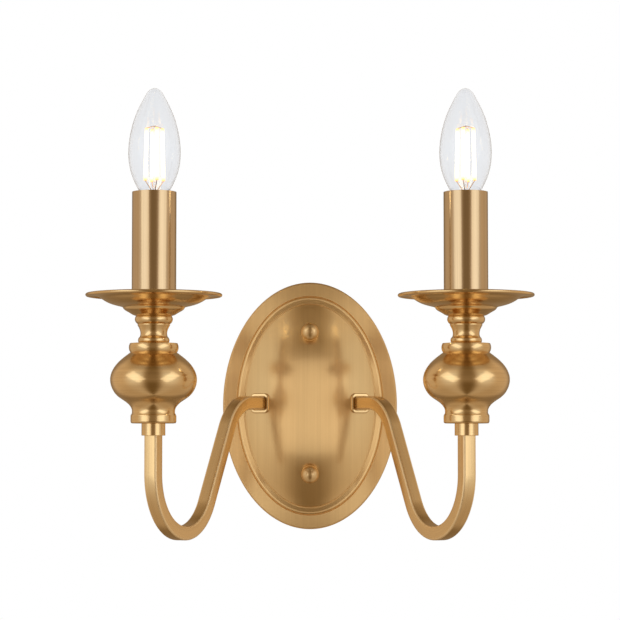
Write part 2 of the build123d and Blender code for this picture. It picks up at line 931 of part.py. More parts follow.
def build_leads(side):
    """Two insulated leads, from the terminal block through the arm to the lampholder."""
    frame = column_level(side, 0)
    out = exit_plane(side).z_dir
    start = exit_plane(side).origin
    block_y = -block_middle
    with BuildPart() as leads:
        for way, height in ((1, way_pitch), (-1, 0)):
            hand = -side * way
            shift = frame.x_dir * lead_offset * hand
            arm = arm_plane(side)
            corners = [arm.from_local_coords((x, y)) + shift for x, y in arm_corners]
            points = [
                Vector(side * 1.5, block_y, height),
                Vector(side * 17, block_y, height),
                start + out * -13.8 + shift,
                *corners,
                frame.from_local_coords((lead_offset * hand, 0, 68)),
                frame.from_local_coords((terminal_reach * hand, 0, 81)),
                frame.from_local_coords((terminal_reach * hand, 0, lead_end)),
            ]
            radii = [corner_radius(points, index) for index in range(1, len(points) - 1)]
            radii[2:5] = arm_bends
            with BuildLine() as route:
                FilletPolyline(*points, radius=radii)
            with BuildSketch(Plane(origin=points[0], z_dir=points[1] - points[0])):
                Circle(lead_radius)
            sweep(path=route.wire())
    return leads


def corner_radius(points, index):
    """The largest bend that leaves a tenth of the shorter run straight at a corner."""
    before = points[index] - points[index - 1]
    after = points[index + 1] - points[index]
    turn = radians(before.get_angle(after))
    return min(0.45 * min(before.length, after.length) / tan(turn / 2), 60.0)


# ---------------------------------------------------------------- write both sides

nipple_bottom = column_tube_bottom + fit_gap
for name, side in sides.items():
    save(build_arm(side), f"{name}_arm")
    save(build_collar(side), f"{name}_arm_collar")
    save(build_arm_tube(side), f"{name}_arm_tube")
    save(build_arm_washer(side), f"{name}_arm_washer")
    save(build_arm_nut(side), f"{name}_arm_nut")
    save(build_ferrule(side), f"{name}_ferrule")
    save(build_vase(side), f"{name}_vase")
    save(build_neck(side), f"{name}_neck")
    save(build_pan(side), f"{name}_drip_pan")
    column = (column_tube_radius, column_tube_bore, nipple_bottom, column_tube_top)
    save(build_tube(side, *column), f"{name}_column_tube")
    save(build_column_nut(side), f"{name}_column_nut")
    save(build_stirrup(side), f"{name}_stirrup")
    save(build_lampholder(side), f"{name}_lampholder")
    shell = (shell_outer, shell_inner, holder_floor + 0.6, shell_top)
    save(build_tube(side, *shell), f"{name}_screw_shell")
    save(build_centre_contact(side), f"{name}_centre_contact")
    save(build_holder_screws(side), f"{name}_holder_screws")
    sleeve = (sleeve_radius, sleeve_radius - sleeve_wall, sleeve_bottom, sleeve_top)
    save(build_tube(side, *sleeve), f"{name}_candle_sleeve")
    save(build_leads(side), f"{name}_leads")
    save(build_bulb_contact(side), f"{name}_bulb_contact")
    save(build_bulb_insulator(side), f"{name}_bulb_insulator")
    save(build_bulb_cap(side), f"{name}_bulb_cap")
    save(build_bulb_glass(side), f"{name}_bulb_glass")
    save(build_bulb_stem(side), f"{name}_bulb_stem")
    save(build_bulb_filaments(side), f"{name}_bulb_filaments")
    save(build_bulb_wires(side), f"{name}_bulb_wires")
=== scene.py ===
"""Looks of a double arm wall sconce: brushed brass, clear candle bulbs and the fixings behind.

Everything lies in the frame of the part: metres, the wall at y = 0, the room towards -Y, +Z up.
The sconce's sizes are in millimetres and are turned into metres where a mesh is made."""

from math import atan2, cos, degrees, hypot, pi, radians, sin, sqrt, tan

import bmesh
import bpy
import numpy as np
from mathutils import Matrix, Vector


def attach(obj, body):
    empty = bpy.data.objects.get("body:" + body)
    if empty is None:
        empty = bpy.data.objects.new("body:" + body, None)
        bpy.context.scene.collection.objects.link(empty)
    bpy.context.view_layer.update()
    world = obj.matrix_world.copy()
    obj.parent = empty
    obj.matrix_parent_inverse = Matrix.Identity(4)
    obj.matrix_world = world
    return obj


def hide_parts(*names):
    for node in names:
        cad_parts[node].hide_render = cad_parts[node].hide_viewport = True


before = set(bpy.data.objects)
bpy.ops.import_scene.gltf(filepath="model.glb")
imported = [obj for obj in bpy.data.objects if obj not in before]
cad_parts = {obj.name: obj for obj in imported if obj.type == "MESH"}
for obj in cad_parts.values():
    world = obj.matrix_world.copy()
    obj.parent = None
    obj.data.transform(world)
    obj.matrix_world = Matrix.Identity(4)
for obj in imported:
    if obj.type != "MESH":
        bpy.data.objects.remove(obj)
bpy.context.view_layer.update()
MM = 0.001

# ------------------------------------------------------------------ sizes
# They are the part's own, apart from the groove, the bar's corners and the rose's width, which
# are drawn here as the photograph shows their edges: softer or finer by less than a millimetre.

plate_half_width = 63.0
plate_half_height = 89.25
plate_drop = 1.45
sheet = 1.2
edge_depth = 9.2
edge_chamfer = 0.9
groove_inset = 10.4
groove_depth = 0.9
groove_half_width = 0.55
outer_band_depth = 11.4
dome_inset = 16.2
dome_edge_depth = 12.4
dome_radius = 83.0

stud_height = 51.0
stud_radius = 2.0
knob_radius = 6.4
knob_shank_radius = 3.9
knob_shank_length = 3.5
knob_hole_radius = 4.2

exit_x = 36.0
bar = 9.5
bar_corner = 1.6
arm_run = 155.0
arm_drop = 89.3
arm_straight = 40.8
arm_slope = 60.0
arm_bends = (36.0, 39.0, 40.0)
bar_end = -18.3
collar_size = 14.4
collar_corner = 3.4
collar_height = 1.5
collar_window = 10.3
arm_tube_radius = 3.45
arm_tube_back = -8.0
seat_gap = 0.03
fit_gap = 0.05

bore = 5.0
ferrule_bottom = -23.8
ferrule_top = -15.8
ferrule_radius = 7.85
spigot_radius = 6.6
spigot_top = -9.5
vase_top = 37.1
neck_top = 55.3
pan_sheet = 1.0
sleeve_radius = 14.7
sleeve_wall = 0.9
sleeve_bottom = 58.1
sleeve_top = 137.5
bulb_tip = 206.8
glass_wall = 0.8

# ------------------------------------------------------------------ worked-out places

dome_stretch = (plate_half_height - dome_inset) / (plate_half_width - dome_inset)
dome_back = sqrt(dome_radius**2 - (plate_half_width - dome_inset) ** 2) - dome_edge_depth


def dome_depth(x, z):
    """How far the dome stands in front of the wall at a point of the plate."""
    height = (z + plate_drop) / dome_stretch
    return sqrt(dome_radius**2 - x**2 - height**2) - dome_back


exit_turn = atan2(exit_x, dome_depth(exit_x, 0) + dome_back)
exit_y = -dome_depth(exit_x, 0)
candle_x = exit_x + arm_run * sin(exit_turn)
candle_y = exit_y - arm_run * cos(exit_turn)
sides = {"left": -1, "right": 1}


def candle_frame(side):
    """Matrix in millimetres of a candle's axis: x across the arm, y along it, z up."""
    across = Vector((cos(exit_turn), side * sin(exit_turn), 0))
    along = Vector((-side * sin(exit_turn), cos(exit_turn), 0))
    place = Matrix((across, along, (0, 0, 1))).transposed().to_4x4()
    place.translation = Vector((side * candle_x, candle_y, 0))
    return place


def exit_frame(side):
    """Matrix in millimetres of the arm's exit: x level across the arm, y up, z outwards."""
    out = Vector((side * sin(exit_turn), -cos(exit_turn), 0))
    up = Vector((0, 0, 1))
    place = Matrix((up.cross(out), up, out)).transposed().to_4x4()
    place.translation = Vector((side * exit_x, exit_y, 0))
    return place


def facing_frame(x, y, z):
    """Matrix in millimetres of a point of the plate: x to the right, y up, z into the room."""
    place = Matrix(((1, 0, 0), (0, 0, 1), (0, -1, 0))).transposed().to_4x4()
    place.translation = Vector((x, y, z))
    return place


def knob_seat(height):
    """The y of the edge that a knob's ball rests on, where its hole is nearest the middle."""
    return -dome_depth(0, height * (1 - knob_hole_radius / stud_height))


def knob_middle(height):
    """The y of the middle of a knob's ball."""
    return knob_seat(height) - sqrt(knob_radius**2 - knob_hole_radius**2) - fit_gap


# ------------------------------------------------------------------ lines


def smooth_line(points, steps=8, start=None, end=None):
    """Points of a cubic spline through the given ones; start and end are directions there."""
    known = np.array(points, float)
    gaps = np.hypot(*np.diff(known, axis=0).T)
    slopes = np.diff(known, axis=0) / gaps[:, None]
    count = len(known)
    left, right = np.zeros((count, count)), np.zeros((count, 2))
    for i in range(1, count - 1):
        left[i, i - 1 : i + 2] = gaps[i - 1], 2 * (gaps[i - 1] + gaps[i]), gaps[i]
        right[i] = 6 * (slopes[i] - slopes[i - 1])
    left[0, 0] = left[-1, -1] = 1
    if start is not None:
        left[0, :2] = 2 * gaps[0], gaps[0]
        right[0] = 6 * (slopes[0] - np.array(start) / hypot(*start))
    if end is not None:
        left[-1, -2:] = gaps[-1], 2 * gaps[-1]
        right[-1] = 6 * (np.array(end) / hypot(*end) - slopes[-1])
    bend = np.linalg.solve(left, right)
    line = [tuple(known[0])]
    for i, gap in enumerate(gaps):
        for step in range(1, steps + 1):
            t = gap * step / steps
            rise = slopes[i] - gap * (2 * bend[i] + bend[i + 1]) / 6
            turn = bend[i] / 2 + (bend[i + 1] - bend[i]) * t / (6 * gap)
            line.append(tuple(known[i] + rise * t + turn * t * t))
    return line


def arc(centre, radius, first, last, steps=10):
    """Points of an arc, its angles in degrees."""
    angles = [radians(first + (last - first) * i / steps) for i in range(steps + 1)]
    return [(centre[0] + radius * cos(a), centre[1] + radius * sin(a)) for a in angles]


def arc_through(a, b, c, steps=10):
    """Points of the arc from a over b to c."""
    (ax, ay), (bx, by), (cx, cy) = a, b, c
    d = 2 * (ax * (by - cy) + bx * (cy - ay) + cx * (ay - by))
    aa, bb, cc = ax * ax + ay * ay, bx * bx + by * by, cx * cx + cy * cy
    x = (aa * (by - cy) + bb * (cy - ay) + cc * (ay - by)) / d
    y = (aa * (cx - bx) + bb * (ax - cx) + cc * (bx - ax)) / d
    first, middle, last = (atan2(q - y, p - x) for p, q in (a, b, c))
    turn = (last - first) % (2 * pi)
    if (middle - first) % (2 * pi) > turn:
        turn -= 2 * pi
    radius = hypot(ax - x, ay - y)
    angles = [first + turn * i / steps for i in range(steps + 1)]
    return [(x + radius * cos(t), y + radius * sin(t)) for t in angles]


def eased(points, radius, steps=3, closed=False):
    """The same line with each corner rounded; radius is one number, or one for each point.
    A point close to each end of a rounding keeps the flats beside it flat."""
    radii = radius if hasattr(radius, "__len__") else [radius] * len(points)
    cut_share, hold_share, longest_hold = 0.45, 0.04, 0.15
    made = []
    for i, point in enumerate(points):
        here = Vector(point)
        if radii[i] == 0 or (not closed and i in (0, len(points) - 1)):
            made.append(tuple(here))
            continue
        back = Vector(points[i - 1]) - here
        ahead = Vector(points[(i + 1) % len(points)]) - here
        half = back.angle(ahead) / 2
        shorter = min(back.length, ahead.length)
        cut = min(radii[i] / tan(half), cut_share * shorter)
        a, b = here + back.normalized() * cut, here + ahead.normalized() * cut
        hold = min(longest_hold, hold_share * shorter)
        made.append(tuple(a + back.normalized() * hold))
        for step in range(steps + 1):
            t = step / steps
            made.append(tuple(a * (1 - t) ** 2 + here * 2 * t * (1 - t) + b * t * t))
        made.append(tuple(b + ahead.normalized() * hold))
    return made


# ------------------------------------------------------------------ meshes
# Points nearer to each other than one_place, in millimetres, are taken for one.

one_place = 1e-6


def circle(radius, height, count):
    """A level loop round the local z axis."""
    turns = [2 * pi * i / count for i in range(count)]
    return [(radius * cos(t), radius * sin(t), height) for t in turns]


def rounded_square(half, corner, height, count):
    """A level loop with straight sides and round corners, its points at equal angles."""
    loop = []
    inner = half - corner
    for i in range(count):
        angle = 2 * pi * i / count
        c, s = abs(cos(angle)), abs(sin(angle))
        reach = half / max(c, s)
        if min(c, s) * reach > inner:
            middle = inner * (c + s)
            reach = middle + sqrt(middle**2 - 2 * inner**2 + corner**2)
        loop.append((reach * cos(angle), reach * sin(angle), height))
    return loop


def loft(name, loops, place=Matrix(), ring=False):
    """Mesh of faces between closed loops. ring joins the last loop to the first, and a loop
    with all its points together becomes one point. The grain attribute holds each point's
    place across the piece and how far along the loops it lies, in metres."""
    shape = bmesh.new()
    grain = shape.verts.layers.float_vector.new("grain")
    rows, run = [], 0.0
    for i, loop in enumerate(loops):
        if i:
            run += max((Vector(a) - Vector(b)).length for a, b in zip(loop, loops[i - 1]))
        reach = max((Vector(p) - Vector(loop[0])).length for p in loop)
        row = []
        for point in loop[:1] if reach < one_place else loop:
            vertex = shape.verts.new(place @ Vector(point) * MM)
            vertex[grain] = Vector((point[0], point[1], run)) * MM
            row.append(vertex)
        rows.append(row)
    pairs = list(zip(rows, rows[1:])) + ([(rows[-1], rows[0])] if ring else [])
    for low, high in pairs:
        for k in range(max(len(low), len(high))):
            a, b = low[k % len(low)], low[(k + 1) % len(low)]
            c, d = high[(k + 1) % len(high)], high[k % len(high)]
            corners = list(dict.fromkeys((a, b, c, d)))
            if len(corners) > 2:
                shape.faces.new(corners)
    bmesh.ops.recalc_face_normals(shape, faces=shape.faces)
    mesh = bpy.data.meshes.new(name)
    shape.to_mesh(mesh)
    shape.free()
    return mesh


def piece(name, mesh, material, body, slot, *nodes, smooth=32):
    """Finishes a mesh as a piece of the object: shading, material, body and what it replaces.
    smooth is the widest angle, in degrees, that is still shaded as one surface."""
    made = bpy.data.objects.new(name, mesh)
    mesh.name = name
    bpy.context.scene.collection.objects.link(made)
    mesh.shade_smooth()
    mesh.set_sharp_from_angle(angle=radians(smooth))
    mesh.materials.clear()
    mesh.materials.append(material)
    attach(made, body)
    if nodes:
        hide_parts(*nodes)
    return made


def turned(name, profile, place, material, body, slot, *nodes, count=160):
    """A piece turned round the local z axis from a closed profile of radius and height."""
    loops = [circle(radius, height, count) for radius, height in profile]
    on_axis = profile[0][0] < one_place and profile[-1][0] < one_place
    mesh = loft(name, loops, place, ring=not on_axis)
    return piece(name, mesh, material, body, slot, *nodes)


def baked(holder):
    """The evaluated mesh of an object that is then thrown away."""
    graph = bpy.context.evaluated_depsgraph_get()
    mesh = bpy.data.meshes.new_from_object(holder.evaluated_get(graph), depsgraph=graph)
    bpy.data.objects.remove(holder)
    return mesh


def drilled(mesh, cutters):
    """The mesh with each cutter's mesh taken out of it."""
    holder = bpy.data.objects.new("drilled", mesh)
    bpy.context.scene.collection.objects.link(holder)
    drills = []
    for i, cutter in enumerate(cutters):
        drill = bpy.data.objects.new(f"drill_{i}", cutter)
        bpy.context.scene.collection.objects.link(drill)
        drill.hide_render = True
        cut = holder.modifiers.new(f"cut_{i}", "BOOLEAN")
        cut.operation = "DIFFERENCE"
        cut.solver = "EXACT"
        cut.object = drill
        drills.append(drill)
    made = baked(holder)
    for drill in drills:
        bpy.data.objects.remove(drill)
    return made


# ------------------------------------------------------------------ node trees


class Wire:
    """A socket that can stand in a sum. Each operation adds a Math node to its tree."""

    def __init__(self, tree, socket):
        self.tree = tree
        self.socket = socket

    def _math(self, operation, first, second):
        made = self.tree.nodes.new("ShaderNodeMath")
        made.operation = operation
        for value, socket in zip((first, second), made.inputs):
            plug(self.tree, value, socket)
        return Wire(self.tree, made.outputs[0])

    def __add__(self, other):
        return self._math("ADD", self, other)

    def __radd__(self, other):
        return self._math("ADD", other, self)

    def __sub__(self, other):
        return self._math("SUBTRACT", self, other)

    def __rsub__(self, other):
        return self._math("SUBTRACT", other, self)

    def __mul__(self, other):
        return self._math("MULTIPLY", self, other)

    def __rmul__(self, other):
        return self._math("MULTIPLY", other, self)


def plug(tree, value, socket):
    """Links a wire to a socket, or sets the socket's own value."""
    if isinstance(value, Wire):
        tree.links.new(value.socket, socket)
    elif socket.type == "RGBA" and len(value) == 3:
        socket.default_value = (*value, 1.0)
    else:
        socket.default_value = value


relief_reach = 0.2 * MM


class Tree:
    """A node tree whose nodes all come from one method."""

    def __init__(self, tree):
        self.tree = tree

    def add(self, kind, settings=None, inputs=None, out=0):
        """Adds a node, first its settings, then its inputs by name or number; returns one
        of its outputs, by name or number too, as a wire, or all of them where out is None."""
        made = self.tree.nodes.new(kind)
        for name, value in (settings or {}).items():
            setattr(made, name, value)
        for name, value in (inputs or {}).items():
            plug(self.tree, value, made.inputs[name])
        if out is None:
            return [Wire(self.tree, socket) for socket in made.outputs]
        return Wire(self.tree, made.outputs[out]) if made.outputs else None

    def scaled(self, vector, factors):
        """A vector with its three parts multiplied."""
        settings = {"operation": "MULTIPLY"}
        return self.add("ShaderNodeVectorMath", settings, {0: vector, 1: factors})

    def noise(self, vector, detail=2.0, roughness=0.5):
        """Value of a noise that changes once for each unit of the vector."""
        inputs = {"Vector": vector, "Scale": 1.0, "Detail": detail, "Roughness": roughness}
        return self.add("ShaderNodeTexNoise", None, inputs)

    def blend(self, factor, first, second):
        """A colour between two others. A Mix node's colours go in at 6 and 7 and out at 2."""
        settings = {"data_type": "RGBA"}
        return self.add("ShaderNodeMix", settings, {0: factor, 6: first, 7: second}, out=2)

    def split(self, vector):
        """The three parts of a vector."""
        return self.add("ShaderNodeSeparateXYZ", None, {0: vector}, out=None)

    def maths(self, operation, *values):
        """A Math node whose operation has no sign in Python."""
        return self.add("ShaderNodeMath", {"operation": operation}, dict(enumerate(values)))

    def slope(self, value, low, high, start, end, smooth=False):
        """A level that goes from start to end while the value goes from low to high."""
        settings = {"interpolation_type": "SMOOTHSTEP" if smooth else "LINEAR"}
        inputs = {0: value, 1: low, 2: high, 3: start, 4: end}
        return self.add("ShaderNodeMapRange", settings, inputs)

    def bumped(self, strength, height):
        """A normal that follows a fine relief."""
        inputs = {"Strength": strength, "Distance": relief_reach, "Height": height}
        return self.add("ShaderNodeBump", None, inputs)


def feed(tree, shader, **values):
    """Plugs values or wires into a shader's sockets, named with underscores for spaces."""
    for socket, value in values.items():
        plug(tree.tree, value, shader.inputs[socket.replace("_", " ")])


def new_material(name, **uniform):
    """A material with its tree and its shader; uniform values go on the shader's sockets."""
    material = bpy.data.materials.new(name)
    material.use_nodes = True
    tree = Tree(material.node_tree)
    shader = material.node_tree.nodes["Principled BSDF"]
    feed(tree, shader, **uniform)
    return material, tree, shader


def shades(colour, tone):
    """A darker and a lighter shade of a colour."""
    return [c * (1 - tone) for c in colour], [min(c * (1 + tone), 1.0) for c in colour]


def surface(tree, source):
    """Object coordinates, or the grain attribute of a piece."""
    if source == "object":
        return tree.add("ShaderNodeTexCoord", out="Object")
    return tree.add("ShaderNodeAttribute", {"attribute_name": source}, out="Vector")


def brushed(
    name, colour, source, lines, rough, tone=0.12, bump=0.1, haze=None, painted_edge_highlight=None, **uniform
):
    """Metal with fine brush lines. lines says how many a metre has along each axis: many
    across the brushing, few along it. haze adds a wide soft gloss: its share, roughness and
    anisotropy. painted_edge_highlight paints a highlight on the rounded edges of a bar, a lighter
    colour for the light they catch, and softens their gloss: the colour there, and how far from
    the bar's middle, both ways, the zone begins and is complete."""
    material, tree, shader = new_material(name, Metallic=1.0, **uniform)
    at = surface(tree, source)
    coarse_share, clouds = 0.22, 38.0
    darkest, lightest = 0.3, 0.7
    fine_rough, cloud_rough, edge_rough = 0.06, 0.04, 0.3
    fine = tree.noise(tree.scaled(at, lines), 3.0, 0.6)
    coarse = tree.noise(tree.scaled(at, [n * coarse_share for n in lines]), 2.0)
    cloud = tree.noise(tree.scaled(surface(tree, "object"), [clouds] * 3), 3.0)
    shade = fine * 0.45 + coarse * 0.35 + cloud * 0.2
    level = tree.slope(shade, darkest, lightest, 0.0, 1.0)
    tint = tree.blend(level, *shades(colour, tone))
    smoothest = rough - (fine_rough + cloud_rough) / 2
    gloss = smoothest + fine * fine_rough + cloud * cloud_rough
    # Painted highlight: the bar's rounded edges get a lighter colour that stands in for the light
    # they catch, and a softer gloss.
    if painted_edge_highlight:
        lighter, start, full = painted_edge_highlight
        ways = [tree.maths("ABSOLUTE", part) for part in tree.split(at)[:2]]
        edge = tree.slope(tree.maths("MINIMUM", *ways), start * MM, full * MM, 0.0, 1.0)
        tint = tree.blend(edge, tint, lighter)
        gloss = gloss + edge * edge_rough
    normal = tree.bumped(bump, fine * 0.7 + coarse * 0.3)
    feed(tree, shader, Base_Color=tint, Roughness=gloss, Normal=normal)
    if haze:
        share, spread, pull = haze
        inputs = {"Base Color": tint, "Metallic": 1.0, "Roughness": spread}
        inputs.update({"Anisotropic": pull, "Normal": normal})
        soft = tree.add("ShaderNodeBsdfPrincipled", None, inputs)
        sharp = Wire(tree.tree, shader.outputs[0])
        both = tree.add("ShaderNodeMixShader", None, {0: share, 1: sharp, 2: soft})
        plug(tree.tree, both, tree.tree.nodes["Material Output"].inputs[0])
    return material


def mottled(name, colour, rough, scale=400.0, tone=0.1, bump=0.1, **uniform):
    """A plain finish with a fine mottle, for plated, moulded and blown surfaces."""
    material, tree, shader = new_material(name, **uniform)
    at = surface(tree, "object")
    cloud_share, cloud_rough = 0.12, 0.08
    fine = tree.noise(tree.scaled(at, [scale] * 3), 3.0)
    cloud = tree.noise(tree.scaled(at, [scale * cloud_share] * 3), 2.0)
    tint = tree.blend(fine * 0.5 + cloud * 0.5, *shades(colour, tone))
    gloss = rough - cloud_rough / 2 + cloud * cloud_rough
    normal = tree.bumped(bump, fine)
    feed(tree, shader, Base_Color=tint, Roughness=gloss, Normal=normal)
    return material


def plated(name, colour, rough):
    """Bright plain metal."""
    return mottled(name, colour, rough, Metallic=1.0)


def moulded(name, colour, rough, tone, bump, scale=300.0):
    """Plastic or fired glass."""
    return mottled(name, colour, rough, scale=scale, tone=tone, bump=bump)


brass_tone = (0.77, 0.55, 0.28)
# The colour of the painted highlight along the bar's rounded edges.
edge_highlight_tone = (0.98, 0.78, 0.48)
plate_tone = (0.77, 0.53, 0.25)
sleeve_tone = (0.61, 0.455, 0.275)
plate_brass = brushed(
    "plate_brass", plate_tone, "object", (1500.0, 60.0, 12.0), rough=0.175, tone=0.08, bump=0.06,
    haze=(0.55, 0.36, 0.8), Anisotropic=0.2,
)
# The bar's finish carries a painted highlight along its rounded edges.
bar_brass = brushed(
    "bar_brass", brass_tone, "grain", (1500.0, 1500.0, 14.0), rough=0.24,
    painted_edge_highlight=(edge_highlight_tone, 3.3, 3.9),
)
turned_brass = brushed(
    "turned_brass", brass_tone, "grain", (18.0, 18.0, 1700.0), rough=0.18, Anisotropic=0.3,
    Anisotropic_Rotation=0.25,
)
knob_brass = brushed("knob_brass", brass_tone, "object", [600.0] * 3, rough=0.3, bump=0.05)
sleeve_brass = brushed("sleeve_brass", sleeve_tone, "grain", (1700.0, 1700.0, 9.0), rough=0.14)
zinc_steel = plated("zinc_steel", (0.62, 0.63, 0.64), 0.36)
contact_brass = plated("contact_brass", (0.75, 0.55, 0.25), 0.32)
nickel_cap = plated("nickel_cap", (0.72, 0.70, 0.66), 0.28)
lead_wire = plated("lead_wire", (0.80, 0.46, 0.24), 0.3)
solder_tip = mottled(
    "solder_tip", (0.52, 0.52, 0.54), 0.45, scale=900.0, tone=0.2, bump=0.3, Metallic=1.0
)
holder_plastic = moulded("holder_plastic", (0.78, 0.76, 0.70), 0.5, tone=0.04, bump=0.05)
block_plastic = moulded("block_plastic", (0.80, 0.80, 0.78), 0.42, tone=0.03, bump=0.04)
black_glass = moulded("black_glass", (0.012, 0.012, 0.016), 0.16, tone=0.3, bump=0.03)
lead_sleeving = moulded(
    "lead_sleeving", (0.20, 0.09, 0.04), 0.45, tone=0.12, bump=0.08, scale=600.0
)
clear_glass = mottled(
    "clear_glass", (0.91, 0.92, 0.935), 0.03, scale=60.0, tone=0.01, bump=0.0,
    Transmission_Weight=1.0, IOR=1.46, Specular_IOR_Level=0.25,
)


def filament_glow(name, middle, half, end, strength):
    """A filament that glows white along its length and orange at its ends. middle is the
    height of its middle, half its half length, and end how long each orange end is."""
    base, white_hot, orange = (1.0, 0.72, 0.32), (1.0, 0.78, 0.42), (0.30, 0.13, 0.03)
    material = mottled(
        name, base, 0.5, scale=900.0, tone=0.08, bump=0.05, Emission_Strength=strength
    )
    tree = Tree(material.node_tree)
    height = tree.split(surface(tree, "object"))[2]
    away = tree.maths("ABSOLUTE", height - middle * MM)
    ends = tree.slope(away, (half - end) * MM, half * MM, 0.0, 1.0)
    colour = tree.blend(ends, white_hot, orange)
    feed(tree, tree.tree.nodes["Principled BSDF"], Emission_Color=colour)
    return material


lit_filament = filament_glow("lit_filament", middle=162.5, half=17.5, end=5.0, strength=4.5)

# ------------------------------------------------------------------ path and thread trees


def new_tree(name, sockets):
    """A geometry tree with named inputs."""
    tree = bpy.data.node_groups.new(name, "GeometryNodeTree")
    tree.interface.new_socket("Geometry", in_out="INPUT", socket_type="NodeSocketGeometry")
    for socket, kind in sockets.items():
        tree.interface.new_socket(socket, in_out="INPUT", socket_type=f"NodeSocket{kind}")
    tree.interface.new_socket("Geometry", in_out="OUTPUT", socket_type="NodeSocketGeometry")
    made = Tree(tree)
    inlets = made.add("NodeGroupInput", out=None)
    return made, {wire.socket.name: wire for wire in inlets if wire.socket.name}


def close_tree(tree, geometry, material):
    """Ends a geometry tree: real geometry with its material."""
    real = tree.add("GeometryNodeRealizeInstances", None, {0: geometry})
    coated = tree.add("GeometryNodeSetMaterial", None, {0: real, "Material": material})
    tree.add("NodeGroupOutput", None, {0: coated})
    return tree.tree


def grown(name, tree, mesh, values):
    """The mesh that a geometry tree makes with these input values."""
    holder = bpy.data.objects.new(name, mesh)
    bpy.context.scene.collection.objects.link(holder)
    modifier = holder.modifiers.new(name, "NODES")
    modifier.node_group = tree
    for item in tree.interface.items_tree:
        if item.in_out == "INPUT" and item.name in values:
            modifier[item.identifier] = values[item.name]
    return baked(holder)


def bent_bar_tree():
    """A square bar that follows a line of runs with a bend radius at each corner."""
    sockets = {"Across": "Vector", "Width": "Float", "Corner": "Float", "Material": "Material"}
    tree, wires = new_tree("bent_bar", sockets)
    bend_steps, corner_steps = 28, 6
    bend = tree.add("GeometryNodeInputNamedAttribute", {"data_type": "FLOAT"}, {"Name": "bend"})
    line = tree.add("GeometryNodeMeshToCurve", None, {0: wires["Geometry"]})
    line = tree.add(
        "GeometryNodeFilletCurve",
        {"mode": "POLY"},
        {"Curve": line, "Radius": bend, "Count": bend_steps},
    )
    line = tree.add(
        "GeometryNodeSetCurveNormal", {"mode": "FREE"}, {"Curve": line, "Normal": wires["Across"]}
    )
    length = tree.add("GeometryNodeSplineParameter", out="Length")
    line = tree.add(
        "GeometryNodeStoreNamedAttribute",
        {"data_type": "FLOAT", "domain": "POINT"},
        {"Geometry": line, "Name": "along", "Value": length},
    )
    outline = tree.add(
        "GeometryNodeCurvePrimitiveQuadrilateral",
        None,
        {"Width": wires["Width"], "Height": wires["Width"]},
    )
    outline = tree.add(
        "GeometryNodeFilletCurve",
        {"mode": "POLY"},
        {"Curve": outline, "Radius": wires["Corner"], "Count": corner_steps},
    )
    outline = tree.add(
        "GeometryNodeStoreNamedAttribute",
        {"data_type": "FLOAT_VECTOR", "domain": "POINT"},
        {"Geometry": outline, "Name": "across", "Value": tree.add("GeometryNodeInputPosition")},
    )
    solid = tree.add(
        "GeometryNodeCurveToMesh",
        None,
        {"Curve": line, "Profile Curve": outline, "Fill Caps": True},
    )
    along = tree.add("GeometryNodeInputNamedAttribute", {"data_type": "FLOAT"}, {"Name": "along"})
    across = tree.add(
        "GeometryNodeInputNamedAttribute", {"data_type": "FLOAT_VECTOR"}, {"Name": "across"}
    )
    level, upright, _ = tree.split(across)
    grain = tree.add("ShaderNodeCombineXYZ", None, {0: level, 1: upright, 2: along})
    solid = tree.add(
        "GeometryNodeStoreNamedAttribute",
        {"data_type": "FLOAT_VECTOR", "domain": "POINT"},
        {"Geometry": solid, "Name": "grain", "Value": grain},
    )
    return close_tree(tree, solid, wires["Material"])


def thread_tree():
    """A screw thread: a pointed ridge that winds round the local z axis."""
    sockets = {
        "Radius": "Float",
        "Pitch": "Float",
        "Turns": "Float",
        "Ridge": "Float",
        "Steps": "Int",
        "Material": "Material",
    }
    tree, wires = new_tree("thread", sockets)
    ridge_sides = 6
    winding = tree.add(
        "GeometryNodeCurveSpiral",
        None,
        {
            "Resolution": wires["Steps"],
            "Rotations": wires["Turns"],
            "Start Radius": wires["Radius"],
            "End Radius": wires["Radius"],
            "Height": wires["Turns"] * wires["Pitch"],
        },
    )
    ridge = tree.add(
        "GeometryNodeCurvePrimitiveCircle",
        {"mode": "RADIUS"},
        {"Resolution": ridge_sides, "Radius": wires["Ridge"]},
    )
    solid = tree.add(
        "GeometryNodeCurveToMesh",
        None,
        {"Curve": winding, "Profile Curve": ridge, "Fill Caps": True},
    )
    return close_tree(tree, solid, wires["Material"])


bent_bar = bent_bar_tree()
screw_thread = thread_tree()


def threads(name, runs, material, body, slot):
    """Thread ridges as one piece. Each run is its place, radius, pitch, turns and ridge."""
    steps_per_turn = 28
    shape = bmesh.new()
    for place, radius, pitch, turns, ridge in runs:
        values = {
            "Radius": radius * MM,
            "Pitch": pitch * MM,
            "Turns": float(turns),
            "Ridge": ridge * MM,
            "Steps": steps_per_turn,
            "Material": material,
        }
        wound = grown(name, screw_thread, bpy.data.meshes.new(name), values)
        moved = place.copy()
        moved.translation = place.translation * MM
        wound.transform(moved)
        shape.from_mesh(wound)
        bpy.data.meshes.remove(wound)
    bmesh.ops.recalc_face_normals(shape, faces=shape.faces)
    mesh = bpy.data.meshes.new(name)
    shape.to_mesh(mesh)
    shape.free()
    return piece(name, mesh, material, body, slot, smooth=50)


# ------------------------------------------------------------------ backplate


def plate_loop(half_width, half_height, depth, count=240):
    """An oval loop that faces the room."""
    turns = [2 * pi * i / count for i in range(count)]
    return [(half_width * cos(t), -depth, half_height * sin(t) - plate_drop) for t in turns]


def band_loops(line, corner):
    """Loops of the flat bands, from points of inset and depth."""
    rounded = eased(line, corner, steps=3)
    return [plate_loop(plate_half_width - i, plate_half_height - i, d) for i, d in rounded]


def dome_loops(radius, rim, steps=56):
    """Loops of the dome from its rim to its top."""
    loops = []
    for step in range(steps + 1):
        reach = rim * sin(pi / 2 * (1 - step / steps))
        depth = sqrt(radius**2 - reach**2) - dome_back
        loops.append(plate_loop(reach, reach * dome_stretch, depth))
    return loops


